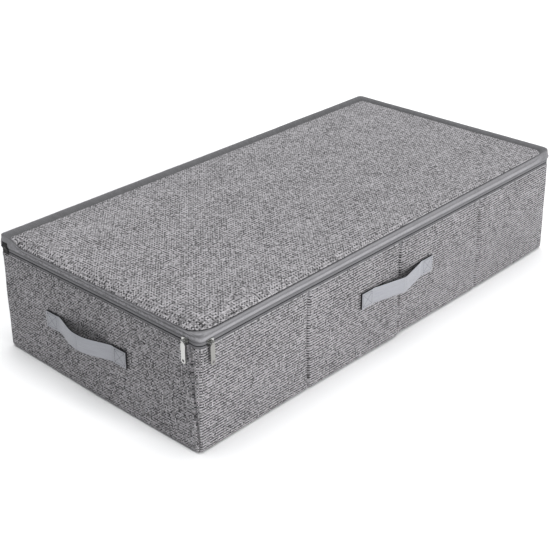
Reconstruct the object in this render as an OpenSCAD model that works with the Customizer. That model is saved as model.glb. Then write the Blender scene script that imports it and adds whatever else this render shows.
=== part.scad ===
// Under bed storage box: a fabric box over stiff boards, with a zip-round lid hinged at the back.
// Millimetres. X runs along the front, -Y is the front, +Z is up, and the origin is the middle of the base.

/* [Box] */
// Length of the box, left to right
box_length = 800; // [760:10:900]
// Width of the box, front to back
box_width = 400; // [360:10:480]
// Height of the whole box, with its lid closed
box_height = 180; // [174:1:220]
// Height of the lid above the middle of the zip
lid_depth = 23; // [20:1:26]
// Radius of the two front corners
front_corner_r = 12; // [9:1:20]
// Radius of the two back corners
back_corner_r = 8; // [8:0.5:12]

/* [Walls] */
// Thickness of the outer fabric
fabric_t = 1.2; // [0.8:0.1:1.4]
// Thickness of the stiffening boards
board_t = 3; // [2:0.5:4]
// Thickness of the lining
lining_t = 0.8; // [0.5:0.1:1]
// Number of boards along each long wall and along the base
board_count = 4; // [4:4]
// Gap between boards, where the walls crease
crease_gap = 6; // [4:0.5:10]

/* [Lid] */
// Width of the border tape on top of the lid, along the front and left
near_border_w = 3; // [2:1:20]
// Width of the border tape on top of the lid, along the back and right
far_border_w = 21; // [6:1:26]
// Thickness of the stiffener inside the lid
lid_core_t = 2; // [1:0.5:3]

/* [Handles] */
// Whole length of a handle strap, with its sewn ends
handle_length = 166; // [150:2:200]
// Width of a handle strap
strap_w = 25; // [22:1:34]
// Thickness of a handle strap
strap_t = 2; // [1.5:0.1:2.5]
// Length of each sewn end
patch_length = 24; // [20:1:28]
// Length of the part of the strap that turns with the hand
grip_length = 46; // [40:2:52]
// How far the strap stands out from the wall
strap_rise = 14; // [13:0.5:18]
// Place of the front handle along the front
front_handle_x = -8; // [-40:1:40]
// Place of the two end handles along the ends
end_handle_y = 17; // [-40:1:40]
// Height of the middle of the front handle
front_handle_z = 94; // [70:1:100]
// Height of the middle of the two end handles
end_handle_z = 84; // [70:1:100]

/* [Zip] */
// Height of one row of coil
coil_h = 2.2; // [2:0.1:2.4]
// Thickness of the coil, front to back
coil_t = 2.6; // [2.4:0.1:2.8]
// Thickness of the zip tape
tape_t = 0.8; // [0.6:0.1:0.9]
// Length of a zip slider
slider_length = 11; // [10:0.5:13]
// Distance from the front left corner to the middle of the slider on the left end
left_slider_start = 24; // [22:1:60]
// Length of a zip pull, from its hinge to its tip
pull_length = 31; // [25:1:40]

/* [Hidden] */
ease = 0.1;                                  // gap between layers that lie on each other
least_r = 0.5;                               // smallest corner radius of an inner layer
zip_z = box_height - lid_depth;              // middle of the zip, and the height of the lid's hinge
coil_gap = 1.2;                              // between the two rows, where the slider's wedge runs
zip_reveal = 5.5;                            // zip and tape left in sight on each side of the zip
wall_top = zip_z - zip_reveal;               // top edge of the outer fabric
skirt_bottom = zip_z + zip_reveal;           // lower edge of the lid's border
zip_sewn = 11;                               // width of a zip tape past its coil
tape_in = fabric_t + ease;                   // depth of the zip tape behind the wall's face
tape_mid = tape_in + tape_t / 2;
board_in = tape_in + tape_t + ease;          // depth of the boards
lining_in = board_in + board_t + ease;       // depth of the lining
wall_t = lining_in + lining_t;
floor_board_z = fabric_t + ease;
floor_lining_z = floor_board_z + board_t + ease;
floor_z = floor_lining_z + lining_t;         // the floor inside the box
zip_end_y = box_width / 2 - 20;              // where the coils stop, near the back corners
tape_end_y = box_width / 2 - 12;
board_pitch = box_length / board_count;
board_top = wall_top - 4;
strap_lift = 0.2;                            // between the wall and the strap's sewn ends
hinge_y = box_width / 2 + 1.1;
hinge_bead_r = 0.7;
hinge_l = box_length - 2 * back_corner_r - 8;
hinge_leaf_t = 0.8;
hinge_leaf_drop = 18;                        // from the fold down to the lower edge of the hinge
hinge_leaf_gap = 0.4;                        // between the leaf and the middle of the fold
hinge_flap_h = 13;
hinge_flap_gap = 1.1;                        // between the flap and the middle of the fold
border_top_t = 1.2;                          // thickness of the lid's top fabric and border
lid_panel_front_r = 10;                      // corner radii of the fabric panel on the lid
lid_panel_back_r = 4;
lid_lining_in = tape_in + tape_t + 2 * ease; // depth of the lid's lining
lid_core_in = 22;                            // depth of the lid's stiffener, clear of the rolled edge
lid_core_top = box_height - border_top_t - ease;
stop_l = 2.5;                                // length of a zip stop
end_tab = [1, 12, 18];                       // thickness, width and height of a zip end tab
end_tab_top = zip_z + 13.5;
slider_outer_n = 0.25;                       // inner face of the slider's outer plate, out from the wall
slider_outer_t = 1.1;
slider_inner_t = 1.4;
slider_h = 9.2;
slider_taper = 0.9;                          // how much narrower each side is at the tail
slider_cut = 1.2;                            // cut off the corners of the slider's plates
slider_gap = 0.3;                            // between the slider and the coils and tape
slider_inner_n = -tape_mid - coil_t / 2 - slider_gap;
wedge_l = 5;
wedge_x = -3.5;                              // where the wedge starts, from the slider's middle
lip_end = 1.5;                               // from the ends of the slider to the ends of its lips
lip_below = 3.9;                             // from the middle of the zip to the lower edge of the lips
bridge_n = 4.3;                              // middle of the bridge's bar, out from the wall
bridge_r = 0.75;
bridge_leg = 3.2;
pull_bore_r = 1.0;
pull_eye_r = 1.9;
pull_t = 1.4;
pull_w = 8;
pull_neck_w = 3.8;                           // width of the pull where it leaves its eye
pull_neck_z = -0.9;
pull_shoulder_z = -5;                        // where the pull reaches its full width
pull_taper = 0.5;                            // how much narrower each side is at the ring
pull_eye_l = 4.4;
pull_ring_r = 4;
pull_hole_r = 2;
left_slider_y = -box_width / 2 + left_slider_start;
front_slider_x = -box_length / 2 + front_corner_r + slider_length / 2 + 0.5;
$fn = 64;

fabric_grey = [0.60, 0.59, 0.60];
border_grey = [0.52, 0.52, 0.54];
strap_grey = [0.72, 0.72, 0.76];
lining_grey = [0.38, 0.38, 0.40];
board_grey = [0.66, 0.62, 0.55];
coil_grey = [0.25, 0.25, 0.27];
zip_metal = [0.80, 0.80, 0.80];

// A rectangle with its two front corners and its two back corners rounded.
module rounded_plan(length, width, front_r, back_r) {
    difference() {
        square([length, width], center = true);
        for (sx = [-1, 1], sy = [-1, 1]) {
            r = sy < 0 ? front_r : back_r;
            translate([sx * (length / 2 - r / 2), sy * (width / 2 - r / 2)])
                square(r + 0.001, center = true);
        }
    }
    for (sx = [-1, 1], sy = [-1, 1]) {
        r = sy < 0 ? front_r : back_r;
        translate([sx * (length / 2 - r), sy * (width / 2 - r)]) circle(r);
    }
}

// The box's outline, moved in by depth.
module outline(depth) {
    rounded_plan(box_length - 2 * depth, box_width - 2 * depth,
        max(front_corner_r - depth, least_r), max(back_corner_r - depth, least_r));
}

// A wall that follows the outline, from one depth to another and from one height to another.
module wall_ring(depth_a, depth_b, low, high) {
    translate([0, 0, low]) linear_extrude(high - low) difference() {
        outline(depth_a);
        outline(depth_b);
    }
}

// The same wall on the left, front and right only, up to y = end.
module zip_ring(depth_a, depth_b, low, high, end) {
    intersection() {
        wall_ring(depth_a, depth_b, low, high);
        translate([-box_length, -box_width, 0]) cube([2 * box_length, box_width + end, 2 * box_height]);
    }
}

// Everything outside one wall, cut at 45 degrees through the centres of its two corners.
module wall_sector(side) {
    cx = box_length / 2;
    cf = -box_width / 2;
    cb = box_width / 2;
    f = front_corner_r;
    b = back_corner_r;
    out = 40;                                // how far the cuts reach past the box
    front_left = [[-cx + f, cf + f], [-cx - out, cf - out]];
    front_right = [[cx + out, cf - out], [cx - f, cf + f]];
    back_right = [[cx - b, cb - b], [cx + out, cb + out]];
    back_left = [[-cx - out, cb + out], [-cx + b, cb - b]];
    points =
        side == "front" ? concat(front_left, front_right) :
        side == "right" ? concat(front_right, back_right) :
        side == "back" ? concat(back_right, back_left) :
        concat(back_left, front_left);
    linear_extrude(2 * box_height) polygon(points);
}

module wall_fabric(side) {
    color(fabric_grey) intersection() {
        wall_ring(0, fabric_t, 0, wall_top);
        wall_sector(side);
    }
}

module base_fabric() {
    color(lining_grey) linear_extrude(fabric_t) outline(fabric_t + ease);
}

// One board of a long wall. side is -1 at the front and 1 at the back.
module long_wall_board(index, side) {
    corner = side < 0 ? front_corner_r : back_corner_r;
    low = index == 0 ? -box_length / 2 + corner : -box_length / 2 + index * board_pitch + crease_gap / 2;
    high = index == board_count - 1 ? box_length / 2 - corner
        : -box_length / 2 + (index + 1) * board_pitch - crease_gap / 2;
    y = side < 0 ? -box_width / 2 + board_in : box_width / 2 - board_in - board_t;
    color(board_grey) translate([low, y, floor_board_z])
        cube([high - low, board_t, board_top - floor_board_z]);
}

// The board of an end wall. side is -1 at the left and 1 at the right.
module end_board(side) {
    x = side < 0 ? -box_length / 2 + board_in : box_length / 2 - board_in - board_t;
    depth = box_width - front_corner_r - back_corner_r;
    color(board_grey) translate([x, -box_width / 2 + front_corner_r, floor_board_z])
        cube([board_t, depth, board_top - floor_board_z]);
}

module base_board(index) {
    inset = board_in + board_t + ease;
    low = index == 0 ? -box_length : -box_length / 2 + index * board_pitch + crease_gap / 2;
    high = index == board_count - 1 ? box_length
        : -box_length / 2 + (index + 1) * board_pitch - crease_gap / 2;
    color(board_grey) translate([0, 0, floor_board_z]) linear_extrude(board_t) intersection() {
        translate([low, -box_width]) square([high - low, 2 * box_width]);
        outline(inset);
    }
}

module wall_lining() {
    color(lining_grey) wall_ring(lining_in, wall_t, floor_z + ease, board_top + 2);
}

module floor_lining() {
    color(lining_grey) translate([0, 0, floor_lining_z]) linear_extrude(lining_t) outline(lining_in);
}

// A row of zip coil. side is -1 for the box's row and 1 for the lid's.
module zip_coil(side) {
    near = zip_z + side * coil_gap / 2;
    far = near + side * coil_h;
    color(coil_grey)
        zip_ring(tape_mid - coil_t / 2, tape_mid + coil_t / 2,
            min(near, far), max(near, far), zip_end_y);
}

// A zip tape, from the coil's edge to where it is sewn in.
module zip_tape(side) {
    edge = zip_z + side * (coil_gap / 2 + coil_h);
    sewn = edge + side * zip_sewn;
    color(border_grey) zip_ring(tape_in, tape_in + tape_t, min(edge, sewn), max(edge, sewn), tape_end_y);
}

// The two metal stops that close the ends of a row of coil.
module zip_stops(side) {
    mid = zip_z + side * (coil_gap / 2 + coil_h / 2);
    color(zip_metal) for (sx = [-1, 1])
        translate([sx * (box_length / 2 - tape_mid), zip_end_y + ease + stop_l / 2, mid])
            cube([coil_t, stop_l, coil_h], center = true);
}

// The folded tabs sewn on the box over the two ends of the zip.
module zip_end_tabs() {
    color(border_grey) for (sx = [-1, 1])
        translate([sx * (box_length / 2 + end_tab[0] / 2), tape_end_y - 2, end_tab_top - end_tab[2]])
            translate([-end_tab[0] / 2, -end_tab[1] / 2, 0]) cube(end_tab);
}

// The box's half of the cloth hinge, with the round fold that the lid turns on.
module hinge_tape() {
    color(border_grey) {
        translate([-hinge_l / 2, box_width / 2 + ease, zip_z - hinge_leaf_drop])
            cube([hinge_l, hinge_leaf_t, hinge_leaf_drop - hinge_leaf_gap]);
        translate([-hinge_l / 2, hinge_y, zip_z]) rotate([0, 90, 0])
            cylinder(h = hinge_l, r = hinge_bead_r);
    }
}

// The lid's half of the cloth hinge.
module hinge_flap() {
    color(border_grey) translate([-hinge_l / 2, box_width / 2 + ease, zip_z + hinge_flap_gap])
        cube([hinge_l, hinge_leaf_t, hinge_flap_h]);
}

// The middle of the lid, inside its border. gap is kept clear all round.
module lid_panel(gap) {
    translate([(near_border_w - far_border_w) / 2, (near_border_w - far_border_w) / 2])
        rounded_plan(box_length - near_border_w - far_border_w - 2 * gap,
            box_width - near_border_w - far_border_w - 2 * gap,
            lid_panel_front_r - gap, lid_panel_back_r - gap);
}

module lid_fabric() {
    color(fabric_grey) translate([0, 0, box_height - border_top_t])
        linear_extrude(border_top_t) lid_panel(ease);
}

// The border tape's flat part, on top of the lid.
module lid_rim() {
    color(border_grey) translate([0, 0, box_height - border_top_t])
        linear_extrude(border_top_t) difference() {
            outline(0);
            lid_panel(0);
        }
}

// One side of the border tape's skirt, down to the zip.
module lid_skirt(side) {
    color(border_grey) intersection() {
        wall_ring(0, fabric_t, skirt_bottom, box_height - border_top_t);
        wall_sector(side);
    }
}

module lid_core() {
    color(board_grey) translate([0, 0, lid_core_top - lid_core_t])
        linear_extrude(lid_core_t) outline(lid_core_in);
}

module lid_lining() {
    color(lining_grey) translate([0, 0, lid_core_top - lid_core_t - ease - lining_t])
        linear_extrude(lining_t) outline(lid_lining_in);
}

// Puts a piece drawn for the front wall where it belongs. Drawn with X along the wall,
// Y pointing out of the wall from its face, and Z up.
module on_front(along) {
    translate([along, -box_width / 2, 0]) mirror([0, 1, 0]) children();
}

module on_left(along) {
    translate([-box_length / 2, along, 0]) rotate([0, 0, 90]) children();
}

module on_right(along) {
    translate([box_length / 2, along, 0]) rotate([0, 0, -90]) children();
}

// How far the strap's inner face stands out at a distance from its middle: flat on the wall
// where it is sewn, and rising in a smooth arch between.
function strap_out(along) =
    let (
        sewn = handle_length / 2 - patch_length,
        share = max(0, 1 - abs(along) / sewn)
    )
    strap_lift + strap_rise * share * share * (3 - 2 * share);

// The strap between two places along it, drawn as a closed outline and raised by its width.
module strap_stretch(from, to, steps, middle_z) {
    places = [for (i = [0 : steps]) from + (to - from) * i / steps];
    inner = [for (a = places) [a, strap_out(a)]];
    outer = [for (i = [steps : -1 : 0]) [places[i], strap_out(places[i]) + strap_t]];
    translate([0, 0, middle_z - strap_w / 2]) linear_extrude(strap_w) polygon(concat(inner, outer));
}

module handle_ends(middle_z) {
    end = handle_length / 2;
    joint_gap = 0.25;
    color(strap_grey) for (side = [-1, 1])
        strap_stretch(side * (grip_length / 2 + joint_gap), side * end, 18, middle_z);
}

module handle_grip(middle_z) {
    color(strap_grey) strap_stretch(-grip_length / 2, grip_length / 2, 8, middle_z);
}

// A plate of the slider, seen from outside: wide at the nose and narrower at the tail.
module slider_plate(low, high) {
    half = slider_length / 2;
    wide = slider_h / 2;
    tail = wide - slider_taper;
    cut = slider_cut;
    translate([0, high, zip_z]) rotate([90, 0, 0]) linear_extrude(high - low)
        polygon([[-half + cut, wide], [half - cut, tail], [half, tail - cut], [half, -tail + cut],
            [half - cut, -tail], [-half + cut, -wide], [-half, -wide + cut], [-half, wide - cut]]);
}

// The slider's two plates, the wedge that joins them between the coils, and the lips under the box's coil.
module slider_body() {
    lip_top = zip_z - coil_gap / 2 - coil_h - slider_gap;
    lip_low = zip_z - lip_below;
    lip_h = lip_top - lip_low;
    lip_l = slider_length - 2 * lip_end;
    lip_in = tape_in + tape_t + slider_gap;  // depth of the inner lip's near side
    lip_out = tape_in - slider_gap;          // depth of the outer lip's far side
    wedge_t = coil_gap - 2 * slider_gap;
    span = slider_outer_n - slider_inner_n;
    color(zip_metal) {
        slider_plate(slider_outer_n, slider_outer_n + slider_outer_t);
        slider_plate(slider_inner_n - slider_inner_t, slider_inner_n);
        translate([wedge_x, slider_inner_n, zip_z - wedge_t / 2]) cube([wedge_l, span, wedge_t]);
        translate([-lip_l / 2, -lip_out, lip_low]) cube([lip_l, slider_outer_n + lip_out, lip_h]);
        translate([-lip_l / 2, slider_inner_n, lip_low]) cube([lip_l, -lip_in - slider_inner_n, lip_h]);
    }
}

// The staple on the slider's face that holds the pull.
module slider_bridge() {
    base_n = slider_outer_n + slider_outer_t;
    color(zip_metal) {
        translate([-bridge_leg - bridge_r, bridge_n, zip_z]) rotate([0, 90, 0])
            cylinder(h = 2 * (bridge_leg + bridge_r), r = bridge_r);
        for (side = [-1, 1])
            translate([side * bridge_leg, base_n, zip_z]) rotate([-90, 0, 0])
                cylinder(h = bridge_n - base_n, r = bridge_r);
    }
}

// The pull: an eye round the bridge's bar, a flat tab that hangs from it, and a ring at its tip.
module zip_pull() {
    ring_z = -pull_length + pull_ring_r;
    neck = pull_neck_w / 2;
    shoulder = pull_w / 2;
    foot = shoulder - pull_taper;
    color(zip_metal) translate([0, bridge_n, zip_z]) difference() {
        union() {
            translate([-pull_eye_l / 2, 0, 0]) rotate([0, 90, 0])
                cylinder(h = pull_eye_l, r = pull_eye_r);
            translate([0, pull_t / 2, 0]) rotate([90, 0, 0]) linear_extrude(pull_t) {
                polygon([[-neck, pull_neck_z], [neck, pull_neck_z], [shoulder, pull_shoulder_z],
                    [foot, ring_z], [-foot, ring_z], [-shoulder, pull_shoulder_z]]);
                translate([0, ring_z]) circle(pull_ring_r);
            }
        }
        translate([-pull_eye_l, 0, 0]) rotate([0, 90, 0]) cylinder(h = 2 * pull_eye_l, r = pull_bore_r);
        translate([0, pull_t, ring_z]) rotate([90, 0, 0]) cylinder(h = 2 * pull_t, r = pull_hole_r);
    }
}

module front_fabric() wall_fabric("front");
module back_fabric() wall_fabric("back");
module left_fabric() wall_fabric("left");
module right_fabric() wall_fabric("right");
module front_board_1() long_wall_board(0, -1);
module front_board_2() long_wall_board(1, -1);
module front_board_3() long_wall_board(2, -1);
module front_board_4() long_wall_board(3, -1);
module back_board_1() long_wall_board(0, 1);
module back_board_2() long_wall_board(1, 1);
module back_board_3() long_wall_board(2, 1);
module back_board_4() long_wall_board(3, 1);
module base_board_1() base_board(0);
module base_board_2() base_board(1);
module base_board_3() base_board(2);
module base_board_4() base_board(3);
module left_board() end_board(-1);
module right_board() end_board(1);
module lower_zip_tape() zip_tape(-1);
module lower_zip_coil() zip_coil(-1);
module lower_zip_stops() zip_stops(-1);
module front_handle_ends() on_front(front_handle_x) handle_ends(front_handle_z);
module left_handle_ends() on_left(end_handle_y) handle_ends(end_handle_z);
module right_handle_ends() on_right(end_handle_y) handle_ends(end_handle_z);
module lid_front_skirt() lid_skirt("front");
module lid_back_skirt() lid_skirt("back");
module lid_left_skirt() lid_skirt("left");
module lid_right_skirt() lid_skirt("right");
module upper_zip_tape() zip_tape(1);
module upper_zip_coil() zip_coil(1);
module upper_zip_stops() zip_stops(1);
module front_slider() on_front(front_slider_x) slider_body();
module front_slider_bridge() on_front(front_slider_x) slider_bridge();
module front_pull() on_front(front_slider_x) zip_pull();
module left_slider() on_left(left_slider_y) slider_body();
module left_slider_bridge() on_left(left_slider_y) slider_bridge();
module left_pull() on_left(left_slider_y) zip_pull();
module front_handle() on_front(front_handle_x) handle_grip(front_handle_z);
module left_handle() on_left(end_handle_y) handle_grip(end_handle_z);
module right_handle() on_right(end_handle_y) handle_grip(end_handle_z);

front_fabric();
back_fabric();
left_fabric();
right_fabric();
base_fabric();
front_board_1();
front_board_2();
front_board_3();
front_board_4();
back_board_1();
back_board_2();
back_board_3();
back_board_4();
base_board_1();
base_board_2();
base_board_3();
base_board_4();
left_board();
right_board();
wall_lining();
floor_lining();
lower_zip_tape();
lower_zip_coil();
lower_zip_stops();
zip_end_tabs();
hinge_tape();
front_handle_ends();
left_handle_ends();
right_handle_ends();
lid_fabric();
lid_core();
lid_lining();
lid_rim();
lid_front_skirt();
lid_back_skirt();
lid_left_skirt();
lid_right_skirt();
upper_zip_tape();
upper_zip_coil();
upper_zip_stops();
hinge_flap();
front_slider();
front_slider_bridge();
front_pull();
left_slider();
left_slider_bridge();
left_pull();
front_handle();
left_handle();
right_handle();
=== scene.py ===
"""Looks for the fabric under bed box: cloth, tape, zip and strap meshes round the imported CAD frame."""

import math

import bmesh
import bpy
import numpy as np
from mathutils import Matrix, Vector


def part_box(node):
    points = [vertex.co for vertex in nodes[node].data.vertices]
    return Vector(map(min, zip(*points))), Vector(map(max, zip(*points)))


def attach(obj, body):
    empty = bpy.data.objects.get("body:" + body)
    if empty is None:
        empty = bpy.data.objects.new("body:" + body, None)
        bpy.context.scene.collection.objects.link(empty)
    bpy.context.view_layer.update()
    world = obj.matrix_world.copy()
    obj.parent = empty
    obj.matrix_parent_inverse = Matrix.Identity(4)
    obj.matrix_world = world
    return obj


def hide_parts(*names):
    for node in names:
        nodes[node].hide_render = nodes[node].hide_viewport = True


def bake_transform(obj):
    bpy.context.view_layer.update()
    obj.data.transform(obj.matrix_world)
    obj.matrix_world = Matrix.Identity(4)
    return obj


MM = 0.001
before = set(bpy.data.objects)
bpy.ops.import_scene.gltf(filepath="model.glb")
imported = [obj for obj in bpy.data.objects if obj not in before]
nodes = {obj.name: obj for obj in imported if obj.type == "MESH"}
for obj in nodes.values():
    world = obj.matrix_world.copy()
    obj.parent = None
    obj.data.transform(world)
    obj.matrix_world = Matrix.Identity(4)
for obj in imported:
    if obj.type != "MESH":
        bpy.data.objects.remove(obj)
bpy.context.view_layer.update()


# ---------------------------------------------------------------- places, from the frame, in millimetres
def edge(node, corner, axis):
    """One coordinate of a CAD node's box, in millimetres. corner is 0 for the low one and 1 for the high one."""
    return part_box(node)[corner][axis] / MM


HALF_L = edge("lid_rim", 1, 0)
HALF_W = edge("lid_rim", 1, 1)
TOP = edge("lid_rim", 1, 2)
WALL_TOP = edge("front_fabric", 1, 2)
WALL_EDGE = WALL_TOP + 2.0  # the cloth is folded over a little above its CAD panel
SKIRT_LOW = edge("lid_front_skirt", 0, 2)
COIL_LOW = edge("lower_zip_coil", 0, 2)
COIL_HIGH = edge("upper_zip_coil", 1, 2)
ZIP_Z = (COIL_LOW + COIL_HIGH) / 2
ZIP_END = edge("lower_zip_coil", 1, 1)
COIL_DEPTH = 2.1  # of the coil's middle, in from the wall's face
FRONT_R = 12.0  # the walls' corners at their top
BACK_R = 8.0
LOW_R = 6.5  # and at the floor
FAR_BORDER = HALF_L - edge("lid_fabric", 1, 0)
CREASES = [-HALF_L / 2, 0.0, HALF_L / 2]


# ---------------------------------------------------------------- node trees
class Tree:
    """A material's node tree, with short ways to add nodes. A value is a number, a colour or a socket."""

    def __init__(self, name):
        self.mat = bpy.data.materials.new(name)
        self.mat.use_nodes = True
        self.nodes = self.mat.node_tree.nodes
        self.links = self.mat.node_tree.links
        self.shader = self.nodes["Principled BSDF"]

    def put(self, socket, value):
        if isinstance(value, bpy.types.NodeSocket):
            self.links.new(value, socket)
        else:
            socket.default_value = value

    def node(self, kind, **settings):
        made = self.nodes.new(kind)
        for key, value in settings.items():
            setattr(made, key, value)
        return made

    def math(self, operation, a, b=None, c=None):
        made = self.node("ShaderNodeMath", operation=operation)
        for socket, value in zip(made.inputs, (a, b, c)):
            if value is not None:
                self.put(socket, value)
        return made.outputs[0]

    def times(self, a, b):
        return self.math("MULTIPLY", a, b)

    def plus(self, a, b):
        return self.math("ADD", a, b)

    def line(self, x, slope, start):
        return self.math("MULTIPLY_ADD", x, slope, start)

    def scaled(self, colour, level):
        """A colour or a place, times a number."""
        made = self.node("ShaderNodeVectorMath", operation="SCALE")
        self.put(made.inputs[0], colour)
        self.put(made.inputs["Scale"], level)
        return made.outputs[0]

    def mix(self, share, a, b):
        """A number between a and b."""
        made = self.node("ShaderNodeMix", data_type="FLOAT")
        for key, value in zip(("Factor", "A", "B"), (share, a, b)):
            self.put(made.inputs[key], value)
        return made.outputs["Result"]

    def mix_colour(self, share, a, b):
        made = self.node("ShaderNodeMix", data_type="RGBA")
        for index, value in ((0, share), (6, a), (7, b)):
            self.put(made.inputs[index], value)
        return made.outputs[2]

    def span(self, value, low, high, out_low=0.0, out_high=1.0, smooth=False):
        made = self.node("ShaderNodeMapRange", interpolation_type="SMOOTHSTEP" if smooth else "LINEAR")
        for socket, v in zip(made.inputs, (value, low, high, out_low, out_high)):
            self.put(socket, v)
        return made.outputs[0]

    def vector(self, x, y, z=0.0):
        made = self.node("ShaderNodeCombineXYZ")
        for socket, value in zip(made.inputs, (x, y, z)):
            self.put(socket, value)
        return made.outputs[0]

    def over(self, u, v, wide, high, seed=0.0):
        """Cloth coordinates in units of wide by high millimetres."""
        return self.vector(self.math("DIVIDE", u, wide), self.math("DIVIDE", v, high), seed)

    def sway(self, noise, low, high):
        """A noise's usual reach, spread from low to high."""
        return self.span(noise, 0.3, 0.7, low, high)

    def wave(self, place, length):
        return self.math("SINE", self.times(place, 2 * math.pi / length))

    def noise(self, vector, scale=1.0, detail=2.0, rough=0.5):
        made = self.node("ShaderNodeTexNoise")
        self.put(made.inputs["Vector"], vector)
        made.inputs["Scale"].default_value = scale
        made.inputs["Detail"].default_value = detail
        made.inputs["Roughness"].default_value = rough
        return made.outputs["Fac"]

    def cloth_mm(self):
        """The piece's own cloth coordinates: along and across, in millimetres."""
        uv = self.node("ShaderNodeUVMap", uv_map="Cloth")
        parts = self.node("ShaderNodeSeparateXYZ")
        self.links.new(uv.outputs[0], parts.inputs[0])
        return self.times(parts.outputs[0], 1 / MM), self.times(parts.outputs[1], 1 / MM)

    def object_mm(self):
        return self.scaled(self.node("ShaderNodeTexCoord").outputs["Object"], 1 / MM)

    def finish(self, colour, rough, height=None, depth_mm=0.2, strength=1.0, **fixed):
        self.put(self.shader.inputs["Base Color"], colour)
        self.put(self.shader.inputs["Roughness"], rough)
        for key, value in fixed.items():
            self.shader.inputs[key.replace("_", " ")].default_value = value
        if height is not None:
            bump = self.node("ShaderNodeBump")
            bump.inputs["Strength"].default_value = strength
            bump.inputs["Distance"].default_value = depth_mm * MM
            self.put(bump.inputs["Height"], height)
            self.links.new(bump.outputs[0], self.shader.inputs["Normal"])
        return self.mat


def grey(value, warm=0.0):
    """A grey with a faint violet cast, or a warmer one."""
    return (value * (1.012 + warm), value * 0.982, value * (1.016 - warm), 1.0)


def woven(name, light, dark, pitch, weft_run, warp_run, gains, contrast=1.6, warm=0.0):
    """Plain weave of heathered yarns. Each yarn changes shade along its length, and the cloth has slubs."""
    t = Tree(name)
    u, v = t.cloth_mm()
    cell_u, cell_v = t.math("DIVIDE", u, pitch[0]), t.math("DIVIDE", v, pitch[1])
    index_u, index_v = t.math("FLOOR", cell_u), t.math("FLOOR", cell_v)

    def chance(x, y, z):
        made = t.node("ShaderNodeTexWhiteNoise", noise_dimensions="3D")
        t.links.new(t.vector(x, y, z), made.inputs["Vector"])
        return made.outputs["Value"]

    def stretch(along, yarn, run, seed):
        start = t.times(chance(yarn, 0.0, seed), run)
        return t.math("FLOOR", t.math("DIVIDE", t.plus(along, start), run))

    weft = chance(stretch(cell_u, index_v, weft_run, 11.0), index_v, 1.0)
    warp = chance(index_u, stretch(cell_v, index_u, warp_run, 12.0), 2.0)
    spot = chance(index_u, index_v, 3.0)
    over = t.math("FLOORED_MODULO", t.plus(index_u, index_v), 2.0)
    tone = t.plus(t.times(t.mix(over, weft, warp), 0.6), t.times(spot, 0.4))
    slub = t.noise(t.over(u, v, 12.0, 1.2, 2.0), detail=1.0)
    slub = t.span(slub, 0.58, 0.74, 0.0, 0.2, smooth=True)
    drift = t.sway(t.noise(t.over(u, v, 70.0, 45.0, 5.0), detail=3.0), -0.06, 0.06)
    rows = 0.0
    for turn, gain in zip((index_v, index_u, t.plus(index_u, index_v)), gains):
        every = t.math("SUBTRACT", t.math("FLOORED_MODULO", turn, 2.0), 0.5)
        rows = t.line(every, gain, rows)
    tone = t.line(t.math("SUBTRACT", tone, 0.5), contrast, 0.48)
    rows = t.times(rows, t.line(chance(index_u, index_v, 7.0), 1.6, 0.2))
    rows = t.times(rows, t.span(u, 60.0, 420.0, 0.72, 1.0))
    tone = t.plus(t.plus(tone, slub), t.plus(drift, rows))
    round_u = t.math("SINE", t.times(t.math("FRACT", cell_u), math.pi))
    round_v = t.math("SINE", t.times(t.math("FRACT", cell_v), math.pi))
    crown_u = t.line(round_u, 0.45, 0.55)
    crown_v = t.line(round_v, 0.45, 0.55)
    height = t.mix(over, t.times(round_v, crown_u), t.times(round_u, crown_v))
    fuzz = t.noise(t.vector(u, v, 1.0), scale=3.0, detail=2.0)
    colour = t.mix_colour(t.span(tone, 0.0, 1.0), grey(dark, warm), grey(light, warm))
    # Painted shade: the colour is darker where the yarns dip into the gaps between them. It is multiplied by a fine
    # random fuzz.
    painted_gap_shade_and_fuzz = t.times(t.span(height, 0.0, 0.75, 0.7, 1.06), t.sway(fuzz, 0.92, 1.08))
    bumpy = t.plus(height, t.times(tone, 0.35))
    rough = t.span(tone, 0.0, 1.0, 0.95, 0.82)
    return t.finish(t.scaled(colour, painted_gap_shade_and_fuzz), rough, bumpy, 0.2, 0.9, Sheen_Weight=0.08, Sheen_Roughness=0.5,
                    Specular_IOR_Level=0.2)


def taped(name, base, rib, depth, slant=1.0, sheen=0.2, cool=0.0, rough=0.62, shine=0.5, painted_light_uv=False):
    """Smooth woven tape: fine slanted ribs, uneven dye, painted shade in the hollows between ribs and, where asked,
    painted light from a second UV map.
    """
    t = Tree(name)
    u, v = t.cloth_mm()
    height = t.line(t.wave(v, rib * 0.8), 0.35, t.wave(t.line(v, slant, u), rib))
    dye = t.noise(t.over(u, v, 30.0, 9.0), detail=3.0)
    fuzz = t.noise(t.over(u, v, 0.8, 0.8, 4.0), detail=2.0)
    # The colour also rises a little with the ribs' height: painted shade in the hollows between ribs.
    level = t.plus(t.plus(t.sway(dye, 0.9, 1.08), t.sway(fuzz, -0.09, 0.09)), t.times(height, 0.06))
    # Optionally the colour is scaled by a per-vertex factor from a second UV map. That factor is painted light: a
    # painted highlight and painted shade set by the piece. The map's other coordinate sets the strength of a random
    # mottle.
    if painted_light_uv:
        worn = t.node("ShaderNodeUVMap", uv_map="PaintedLightAndMottle")
        split = t.node("ShaderNodeSeparateXYZ")
        t.links.new(worn.outputs[0], split.inputs[0])
        mottle = t.span(t.noise(t.over(u, v, 4.4, 3.2, 7.0), detail=1.0), 0.36, 0.64, -1.0, 1.0)
        level = t.times(t.plus(level, t.times(mottle, split.outputs[1])), split.outputs[0])
    rough = t.span(fuzz, 0.2, 0.8, rough - 0.08, rough + 0.1)
    return t.finish(t.scaled(grey(base, -cool)[:3], level), rough, height, depth, 0.7, Sheen_Weight=sheen,
                    Sheen_Roughness=0.35, Specular_IOR_Level=shine)


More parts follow.
